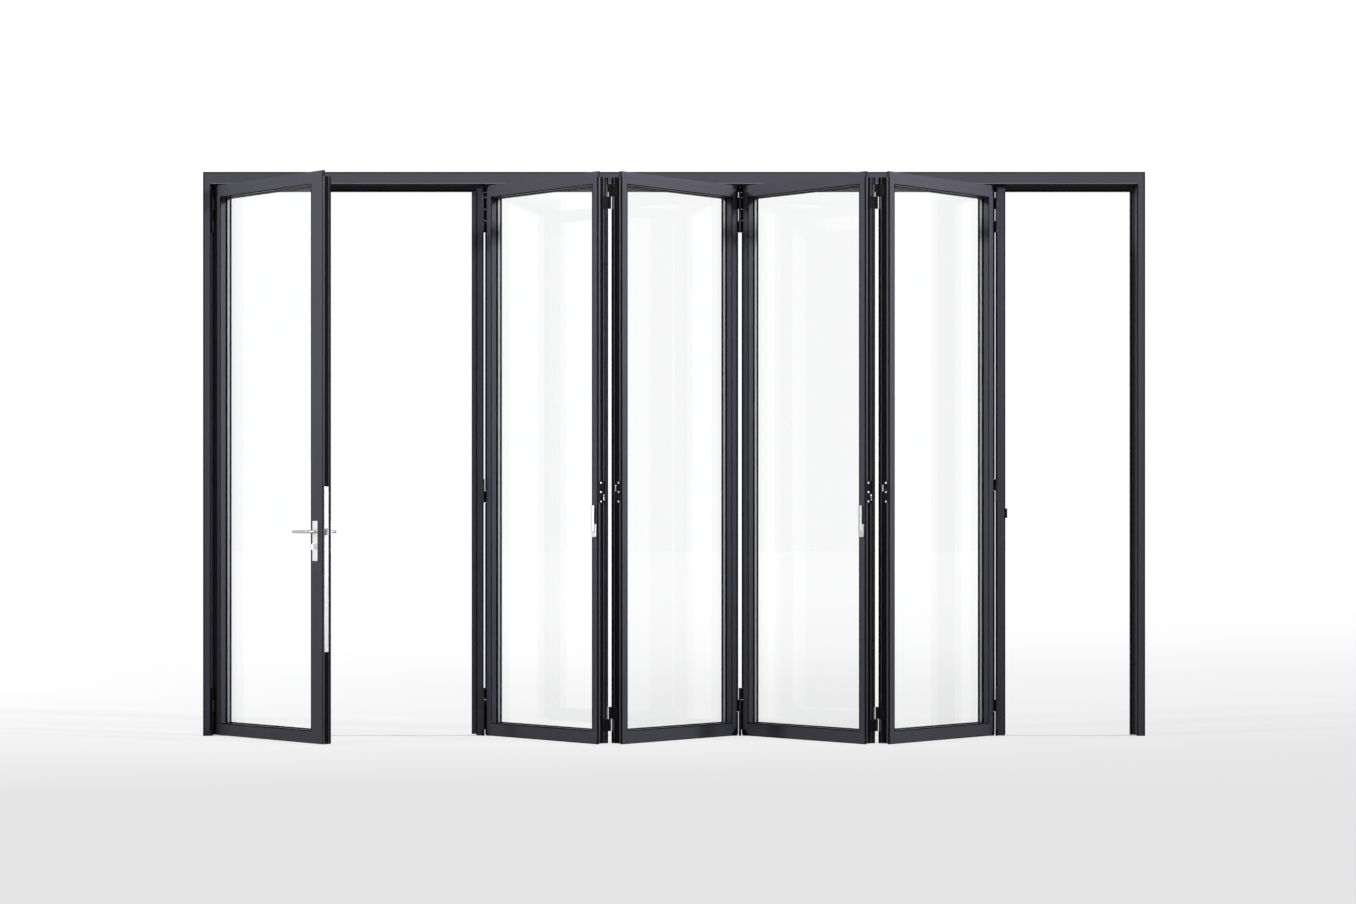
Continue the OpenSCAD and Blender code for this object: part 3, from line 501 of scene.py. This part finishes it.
for k in leaves:
    edge_of_leaf(f"leaf_{k}_edge_strips", k, foot, top,
                 ((0.5, 17.2, 3.9, 21.5), (0.9, 21.4, 3.9, 31.6), (0.5, 31.5, 3.9, 35.8),
                  (w - 3.9, 17.2, w - 0.5, 21.5), (w - 3.9, 21.4, w - 0.9, 31.6),
                  (w - 3.9, 31.5, w - 0.5, 35.8)),
                 polyamide_and_shade)
    flange = (43, 50.6) if k % 2 else (36.4, 46)
    edge_of_leaf(f"leaf_{k}_edge_seals", k, foot, top,
                 ((0.3, 42.1, 2.9, 45.9), (w - 2.9, 42.1, w - 0.3, 45.9), (w, flange[0], w + 0.5, flange[1]),
                  (w, 0.2, w + 1.1, 6.4), (w - 3.2, -0.7, w + 0.4, 0.1)),
                 rubber.material)
    fins = [bar((w, 55 if k % 2 else 51.6, z0), (w + 3.4, 63.6, z1), 0.8)
            for z0, z1 in between(foot, top, rear_hinges)]
    # A black strip under the bottom rail, down to the floor: a brush seal that also paints the shadow in the
    # gap under the leaf.
    fins.append(bar((2, 4, 30.5), (w - 2, 12, 35.0), 0.4))
    fins.append(bar((-3.4, 54, foot), (0, 60, top), 0.8))
    covered = knuckles_left if k % 2 else ()
    for z0, z1 in between(36, 2782, leaf_knuckles[k] + covered):
        fins.append(bar((-4.4, -5, z0), (-1.2, 2.6, z1), 1.0))
        fins.append(bar((-2.6, 1.0, z0), (0.0, 7.6, z1), 0.6))
        fins.append(bar((-1.4, -0.8, z0), (4.2, 0.1, z1), 0.3))
    settle(joined(f"leaf_{k}_fins", fins), leaf_place(k), f"leaf_{k}", rubber.material)
    if covered:
        covers = [bar((-4.4, -7.8, z0), (-0.2, 2.0, z1), 0.8) for z0, z1 in covered]
        settle(joined(f"leaf_{k}_hinge_covers", covers), leaf_place(k), f"leaf_{k}",
               black_steel.material)

# Corner brackets at the front hinges' ends, and the end caps of the top lips: moulded in black nylon
# and clipped on the profiles.
nylon = Finish("black_nylon")
mould = nylon.noise(120, 2)
nylon.set(Base_Color=nylon.mix(mould, (0.005, 0.005, 0.0055), (0.009, 0.009, 0.0095)),
          Roughness=mould * 0.2 + 0.35, Specular_IOR_Level=0.1)
for k in leaves:
    reach = 44 if k in (2, 3) else 14
    caps = [bar((0.5, -4.2, 31), (reach, 0, 42), 1.6),
            bar((0.5, -3.6, 41), (reach * 0.8, 0, 48), 1.4),
            bar((0.5, -3, 47), (reach * 0.5, 0, 57), 1.2),
            bar((0.5, -2.6, 2763), (reach * 0.6 + 6, 0, 2783.6), 1.2),
            bar((w, 0.2, 2756), (w + 1.0, 15, 2784), 0.3)]
    settle(joined(f"leaf_{k}_corner_caps", caps), leaf_place(k), f"leaf_{k}", nylon.material)

# Edges of the posts and of the door: the posts carry the same fin towards their hinge, a thin black strip
# along their outer edge on the front, which is a painted shade line, and a black brush underneath, which
# also paints the shadow in the gap to the floor. The door's lock edge has a black cover strip above and
# below the faceplate, which partly paints the shade on that edge, a seal in its groove and one behind.
post_left_w, post_right_w = 31, 40
left_fin_back, right_fin_back = 57, 58
posts = (("post_left", -1, post_left_w, left_fin_back, knuckles_left + mid_high),
         ("post_right", 1, post_right_w, right_fin_back, knuckles_right + mid_low))
for body, side, post_w, fin_back, own in posts:
    axis = joint_place[f"{body}_hinge"]
    place = (Matrix.Translation((axis[0], axis[1] + hinge_before, 0)) @ Matrix.Scale(side, 4, (1, 0, 0))
             @ Matrix.Translation((hinge_beside, 0, 0)))
    fins = [bar((-4.4, -0.6, z0), (0, 4.6, z1), 0.8) for z0, z1 in between(36, top, own)]
    fins.append(bar((-3.4, 52, 36), (0, fin_back, top), 0.8))
    # A black strip under the post, down to the floor: a brush seal that also paints the shadow in the gap
    # under the post.
    fins.append(bar((0.5, 3, 30.5), (post_w - 1, 9, 34.9), 0.4))
    # A thin black strip on the post's front at its outer edge: a painted shade line.
    fins.append(bar((post_w - 4.6, -0.6, 36), (post_w + 0.3, 0.4, 2756), 0.2))
    settle(joined(f"{body}_fins", fins), place, body, rubber.material)

door_mm = door_w * 1000
# Black strips on the lock edge above and below the faceplate: partly a cover strip, partly painted shade on
# an edge that faces away from the lamps.
cover_and_shade_strips = [bar((door_mm - 2, 12.2, z0), (door_mm + 0.4, 34.8, z1)) for z0, z1 in ((36, 475), (1269, top))]
settle(joined("door_edge_cover_and_shade", cover_and_shade_strips), door_place(), "door", polyamide_and_shade)
seals = [bar((door_mm - 2.8, 37.1, 36), (door_mm - 0.3, 40.9, top)),
         bar((door_mm, 0.2, 36), (door_mm + 1.1, 4.6, 2783)),
         bar((door_mm, 43.2, 38), (door_mm + 3, 47.8, top), 0.8),
         bar((door_mm - 26, 48.1, 38), (door_mm - 18, 49.5, top))]
settle(joined("door_edge_seals", seals), door_place(), "door", rubber.material)
settle(joined("door_lip_cap", [bar((door_mm, 0.2, top), (door_mm + 1.0, 15, 2784))]), door_place(), "door",
       nylon.material)

# Painted lines on the frame: thin black strips along the front edges of each jamb and of the head are
# painted shade lines at those edges, and pale grey strips on the right jamb's inner face, on the head's
# stop and along the bottom edge of the head are painted highlights where those edges catch the light.
# A pale grey coat, much lighter than the frame's anthracite: the colour of the painted highlights on the
# frame's edges.
highlight_paint = powder_coat("painted_highlight_powder_coat", (0.13, 0.13, 0.15), (0.11, 0.11, 0.125), 0.42)
# Black strips: painted shade lines along the jambs' and the head's front edges and under the head.
painted_shade_lines = [bar((-2318, -56.4, 31), (-2316.4, -47, 2789.5)),
               bar((-2320.6, -56.5, 31), (-2317.8, -56, 2790)),
               bar((2317.2, -56.4, 31), (2318, -24, 2789.5)),
               bar((2317.4, -56.5, 31), (2320.4, -56, 2790)),
               bar((-2316, -56, 2789.2), (2316, -47, 2790)),
               bar((-2355, -56.5, 30.5), (-2348.6, -56, 2849.9), 0.1),
               bar((2348.6, -56.5, 30.5), (2355, -56, 2849.9), 0.1),
               bar((-2348, -56.5, 2844), (2348, -56, 2849.9), 0.1)]
settle(joined("frame_painted_shade_lines", painted_shade_lines), Matrix.Identity(4), "frame", polyamide_and_shade)
# Pale strips: painted highlights on the right jamb's inner face, on the head's stop and along the head's
# bottom edge.
painted_highlight_lines = [bar((2317.5, -20, 31), (2318, 24, 2789), 0.1),
              bar((-2292, 33.5, 2785.4), (2292, 34, 2789.4), 0.1),
              bar((-2317, -56.5, 2790.6), (2317, -56, 2795), 0.1)]
settle(joined("frame_painted_highlight_lines", painted_highlight_lines), Matrix.Identity(4), "frame", highlight_paint)

# Knuckles of all hinges: turned sleeves, blued black, that stand a hair proud of the hinge leaves.
gun_black = Finish("gun_black")
turned = gun_black.noise(900, 2, (0.2, 0.2, 6))
gun_black.set(Base_Color=gun_black.mix(turned, (0.004, 0.004, 0.0045), (0.008, 0.008, 0.0085)),
              Roughness=turned * 0.08 + 0.16, Specular_IOR_Level=0.28)
sleeve_r, door_sleeve_r = 6.65, 5.85


def sleeve(x, y, z0, z1, radius):
    """A thin turned tube round one knuckle, with its ends rounded. All in millimetres."""
    bpy.ops.object.select_all(action="DESELECT")
    bpy.ops.mesh.primitive_cylinder_add(vertices=32, radius=radius * mm, depth=(z1 - z0 - 1.2) * mm,
                                        end_fill_type="NOTHING",
                                        location=(x * mm, y * mm, (z0 + z1) / 2 * mm))
    tube = bpy.context.object
    bpy.ops.object.transform_apply(location=True, rotation=False, scale=False)
    wall = tube.modifiers.new("wall", "SOLIDIFY")
    wall.thickness = 0.7 * mm
    wall.offset = -1
    bpy.ops.object.modifier_apply(modifier="wall")
    rim = tube.modifiers.new("rim", "BEVEL")
    rim.width = 0.25 * mm
    rim.segments = 1
    rim.limit_method = "ANGLE"
    rim.angle_limit = math.radians(60)
    bpy.ops.object.modifier_apply(modifier="rim")
    return tube


for k in leaves:
    tubes = [sleeve(-5, -15, z0, z1, sleeve_r) for z0, z1 in leaf_knuckles[k]]
    shift = 0 if k % 2 else rear_shift
    tubes += [sleeve(w + 5, 72, z + shift, z + shift + 58, sleeve_r) for z, _ in rear_hinges]
    settle(joined(f"leaf_{k}_sleeves", tubes), leaf_place(k), f"leaf_{k}", gun_black.material)
hinge_rows = [(body, f"{body}_hinge", sleeve_r, own) for body, _, _, _, own in posts]
hinge_rows += [("frame", "door_swing", door_sleeve_r, knuckles_left),
               ("door", "door_swing", door_sleeve_r, knuckles_right)]
for body, joint, radius, own in hinge_rows:
    axis = joint_place[joint]
    settle(joined(f"{body}_sleeves", [sleeve(0, 0, z0, z1, radius) for z0, z1 in own]),
           Matrix.Translation((axis[0], axis[1], 0)), body, gun_black.material)

# Lock furniture: plates, faceplate and strike in satin stainless steel with a fine grain, screwed on.
# The levers are bent from one bar with a round neck and a slim flat arm.
satin = Finish("satin_stainless")
grain = satin.noise(45, 4, (1, 1, 12))
satin.set(Base_Color=satin.mix(grain, (0.74, 0.74, 0.75), (0.86, 0.86, 0.87)), Metallic=1.0,
          Roughness=grain * 0.16 + 0.24)
satin.bump(grain, 0.00004, 0.25)
for name in ("escutcheons", "bolt_gear_1", "bolt_gear_3", "bolt_handle_1", "bolt_handle_3"):
    finished_copy(name, 0.0008, satin.material, 40)
plate_steel = Finish("rolled_stainless")
rolled = plate_steel.noise(60, 4, (1, 1, 0.08))
plate_steel.set(Base_Color=plate_steel.mix(rolled, (0.36, 0.36, 0.365), (0.46, 0.46, 0.465)), Metallic=1.0,
                Roughness=rolled * 0.14 + 0.28)
plate_steel.bump(rolled, 0.00004, 0.25)
for name in ("lock_faceplate", "strike_plate"):
    finished_copy(name, steel_edge, plate_steel.material, 40)

from_free_edge = Matrix.Translation((door_w, 0, 0)) @ Matrix.Scale(-1, 4, (1, 0, 0))
backset = 52 * mm
spindle_z = 1.052
neck_steps = ((8.5, 1.0), (1.2, 0.86), (28.3, 1.0))
arm_steps = ((16, 0.72, 1.06), (50, 0.92, 0.94), (42, 0.9, 0.92), (5, 0.92, 0.94), (2.6, 0.85, 0.85),
             (1.2, 0.7, 0.7))


def at_spindle(y):
    """The spindle's axis at a depth of the door, with X towards the hinges."""
    return door_place() @ from_free_edge @ Matrix.Translation((backset, y, spindle_z))


def lever_arm(name):
    """A lever on its neck: the neck starts at the origin, grows along Y, bends and runs along X."""
    bpy.ops.object.select_all(action="DESELECT")
    bpy.ops.mesh.primitive_circle_add(vertices=32, radius=8.6 * mm, fill_type="NGON",
                                      rotation=(math.pi / 2, 0, 0))
    piece = bpy.context.object
    piece.name = name
    bpy.ops.object.transform_apply(location=True, rotation=True, scale=True)
    bpy.ops.object.mode_set(mode="EDIT")
    bpy.ops.mesh.select_all(action="SELECT")
    for step, size in neck_steps:
        bpy.ops.mesh.extrude_region_move(TRANSFORM_OT_translate={"value": (0, step * mm, 0)})
        bpy.ops.transform.resize(value=(size, 1, size))
    bpy.ops.mesh.spin(steps=8, angle=math.pi / 2, center=(13 * mm, 38 * mm, 0), axis=(0, 0, 1))
    for step, flat, slim in arm_steps:
        bpy.ops.mesh.extrude_region_move(TRANSFORM_OT_translate={"value": (step * mm, 0, 0)})
        bpy.ops.transform.resize(value=(1, flat, slim))
    bpy.ops.object.mode_set(mode="OBJECT")
    return piece


lever_steel = Finish("brushed_lever_steel")
strokes = lever_steel.noise(50, 4, (1, 1, 9))
lever_steel.set(Base_Color=lever_steel.mix(strokes, (0.42, 0.42, 0.43), (0.56, 0.56, 0.57)), Metallic=1.0,
                Roughness=strokes * 0.14 + 0.2)
lever_steel.bump(strokes, 0.00004, 0.25)
outer_lever = lever_arm("lever_front_bar")
inner_lever = copy_of(outer_lever, "lever_back_bar")
settle(outer_lever, at_spindle(0) @ Matrix.Scale(-1, 4, (0, 1, 0)), "lever", lever_steel.material)
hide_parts("lever_front")
settle(inner_lever, at_spindle(leaf_depth), "lever", lever_steel.material)
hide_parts("lever_back")
spindle = edged_block("spindle", (-4 * mm, 0, -4 * mm), (4 * mm, leaf_depth, 4 * mm), 0.4 * mm, 2)
settle(spindle, at_spindle(0), "lever", zinc.material)

# Screws: raised heads with a hexagon socket. Bright zinc on the interlocks and the lock, black on the
# hinge leaves.
bright_zinc = Finish("bright_zinc")
plated = bright_zinc.noise(700, 2)
bright_zinc.set(Base_Color=bright_zinc.mix(plated, (0.78, 0.79, 0.8), (0.9, 0.9, 0.9)), Metallic=0.25,
                Roughness=plated * 0.12 + 0.28)


def screw(x, y, z, radius, towards, height):
    """A screw head in millimetres whose top looks along one axis."""
    bpy.ops.object.select_all(action="DESELECT")
    bpy.ops.mesh.primitive_cylinder_add(vertices=18, radius=radius * mm, depth=height * mm)
    head = bpy.context.object
    pick_faces(head, lambda normal: normal.z > 0.9)
    bpy.ops.mesh.inset(thickness=radius * 0.3 * mm, depth=0.35 * mm)
    bpy.ops.mesh.inset(thickness=radius * 0.25 * mm)
    bpy.ops.mesh.extrude_region_move(TRANSFORM_OT_translate={"value": (0, 0, -0.9 * mm)})
    bpy.ops.object.mode_set(mode="OBJECT")
    turn = Vector((0, 0, 1)).rotation_difference(Vector(towards)).to_matrix().to_4x4()
    middle = Vector((x, y, z)) * mm + Vector(towards) * (height / 2 * mm)
    head.data.transform(Matrix.Translation(middle) @ turn)
    head.matrix_world = Matrix.Identity(4)
    return head


for k in leaves:
    dog = 1200 if k % 2 else 1245
    heads = [screw(w + 2, 19, 1190 + z, 4.3, (1, 0, 0), 1.6) for z in (7, 52.5, 97)]
    heads += [screw(w + 6, 34.5, dog + z, 3.4, (1, 0, 0), 0.8) for z in (6, 17, 28)]
    settle(joined(f"leaf_{k}_interlock_screws", heads), leaf_place(k), f"leaf_{k}",
           bright_zinc.material)
    shift = 0 if k % 2 else rear_shift
    dark_heads = [screw(w + 4.5, y, z + shift + up, 3.6, (1, 0, 0), 0.7)
                  for z, _ in rear_hinges for y in (32, 50) for up in (13, 45)]
    settle(joined(f"leaf_{k}_hinge_screws", dark_heads), leaf_place(k), f"leaf_{k}",
           black_steel.material)
heads = [screw(door_mm, 23.5, z, 3.6, (1, 0, 0), 0.5) for z in (488, 700, 1110, 1256)]
settle(joined("faceplate_screws", heads), door_place(), "door", bright_zinc.material)
heads = [screw(896, 72, z, 3.2, (0, 1, 0), 0.6) for z in (925, 1091)]
settle(joined("escutcheon_screws", heads), door_place(), "door", bright_zinc.material)

# Bolts, cylinder and lock case, and the works in the head and under the floor, keep their drawn shape
# with broken edges: bolts and lock in plated steel, hangers and guides in black steel, wheels and the
# post's latch in nylon, and the thumb turn in satin steel.
for name in ("lock_cylinder", "lock_case", "latch_bolt", "dead_bolt", "bolt_top_1", "bolt_bottom_1",
             "bolt_top_3", "bolt_bottom_3"):
    finished_copy(name, steel_edge, zinc.material, 40)
for name in ("hanger_left", "hanger_middle", "hanger_right", "guide_left", "guide_middle", "guide_right"):
    finished_copy(name, steel_edge, black_steel.material, 40)
for name in ("wheels_left", "wheels_middle", "wheels_right", "post_latch"):
    finished_copy(name, 0.0008, nylon.material, 40)
finished_copy("thumb_turn", 0.0012, satin.material, 40)

# Floor: a pale seamless floor that runs into white. It isn't part of the wall. Its tone falls off with the
# angle below the camera's horizon. The flush floor channel lies in a slot of the floor.
paper = Finish("floor_paper")
paper.clear()
across = paper.node("ShaderNodeSeparateXYZ", inputs={"Vector": paper.place()}, output=0)
depth = paper.node("ShaderNodeSeparateXYZ", inputs={"Vector": paper.place()}, output=1)
fall_scale, fall_slope = 3760.0, 141.0
tone_start, tone_end = 85.0, 300.0
away = depth.sum("ADD", camera_distance).sum("ABSOLUTE", 0.0).sum("MAXIMUM", 1.0)
fall = (across * fall_slope + fall_scale).sum("DIVIDE", away)
along = paper.node("ShaderNodeMapRange", inputs={
    "Value": fall, "From Min": tone_start, "From Max": tone_end, "To Min": 0.0, "To Max": 1.0})
tone = paper.node("ShaderNodeValToRGB", {"stops": (
    (0.0, (1, 1, 1)), (0.25, (0.96, 0.96, 0.96)), (0.5, (0.87, 0.87, 0.87)), (0.85, (0.765, 0.765, 0.765)))},
    {"Fac": along})
rays = paper.tree.nodes.new("ShaderNodeLightPath")
camera_ray, glossy_ray, clear_ray = (
    Wire(paper.tree, rays.outputs[f"Is {kind} Ray"]) for kind in ("Camera", "Glossy", "Transmission"))
looked_at = camera_ray.sum("MAXIMUM", glossy_ray).sum("MAXIMUM", clear_ray)
lit = paper.node("ShaderNodeBsdfDiffuse", inputs={"Color": paper.mix(looked_at, (0.3, 0.3, 0.3), tone)})
plain = paper.node("ShaderNodeEmission", inputs={"Color": tone, "Strength": 1.3})
paper.blend(looked_at * 0.7, lit, plain)

floor_z = 0.03
floor_end, floor_far = 60.0, 120.0
channel_front, channel_back = -0.045, -0.017
channel_end = 2.3181
for name, x0, x1, y0, y1 in (
        ("floor_front", -floor_end, floor_end, -floor_end, channel_front),
        ("floor_back", -floor_end, floor_end, channel_back, floor_far),
        ("floor_left", -floor_end, -channel_end, channel_front, channel_back),
        ("floor_right", channel_end, floor_end, channel_front, channel_back)):
    bpy.ops.object.select_all(action="DESELECT")
    bpy.ops.mesh.primitive_plane_add(size=1, location=((x0 + x1) / 2, (y0 + y1) / 2, floor_z))
    part = bpy.context.object
    part.name = name
    part.scale = (x1 - x0, y1 - y0, 1)
    bpy.ops.object.transform_apply(location=True, rotation=False, scale=True)
    part.data.materials.append(paper.material)

# Light: a white room all round that lights weakly, a wide soft sun from each side in front and above,
# and a soft spot from each side on the head. The right ones are the stronger.
world = bpy.data.worlds.new("studio")
bpy.context.scene.world = world
world.use_nodes = True
sky = world.node_tree
background = sky.nodes["Background"]
background.inputs["Color"].default_value = (1, 1, 1, 1)
path = sky.nodes.new("ShaderNodeLightPath")
seen = sky.nodes.new("ShaderNodeMath")
seen.operation = "MAXIMUM"
sky.links.new(path.outputs["Is Camera Ray"], seen.inputs[0])
sky.links.new(path.outputs["Is Glossy Ray"], seen.inputs[1])
clear = sky.nodes.new("ShaderNodeMath")
clear.operation = "MAXIMUM"
sky.links.new(seen.outputs[0], clear.inputs[0])
sky.links.new(path.outputs["Is Transmission Ray"], clear.inputs[1])
level = sky.nodes.new("ShaderNodeMapRange")
sky.links.new(clear.outputs[0], level.inputs["Value"])
level.inputs["To Min"].default_value = 0.27
level.inputs["To Max"].default_value = 1.0
sky.links.new(level.outputs[0], background.inputs["Strength"])

sun_angle = math.radians(50)
for name, place, strength in (("left_sun", (-1.0, -0.35, 0.5), 0.34), ("right_sun", (1.0, -0.35, 0.5), 0.46)):
    data = bpy.data.lights.new(name, "SUN")
    data.angle = sun_angle
    data.energy = strength
    lamp = bpy.data.objects.new(name, data)
    lamp.rotation_euler = (-Vector(place)).to_track_quat("-Z", "Y").to_euler()
    bpy.context.scene.collection.objects.link(lamp)
lamp_aim = Vector((0, -0.3, 2.9))
spot_y, spot_z = -15, 9.5
spot_angle = math.radians(13)
for name, x, power in (("left_spot", -26.0, 32000), ("right_spot", 26.0, 49000)):
    data = bpy.data.lights.new(name, "SPOT")
    data.energy = power
    data.shadow_soft_size = 1.5
    data.spot_size = spot_angle
    data.spot_blend = 1.0
    lamp = bpy.data.objects.new(name, data)
    lamp.location = (x, spot_y, spot_z)
    lamp.rotation_euler = (lamp_aim - lamp.location).to_track_quat("-Z", "Y").to_euler()
    bpy.context.scene.collection.objects.link(lamp)

bpy.context.scene.view_settings.view_transform = "Standard"
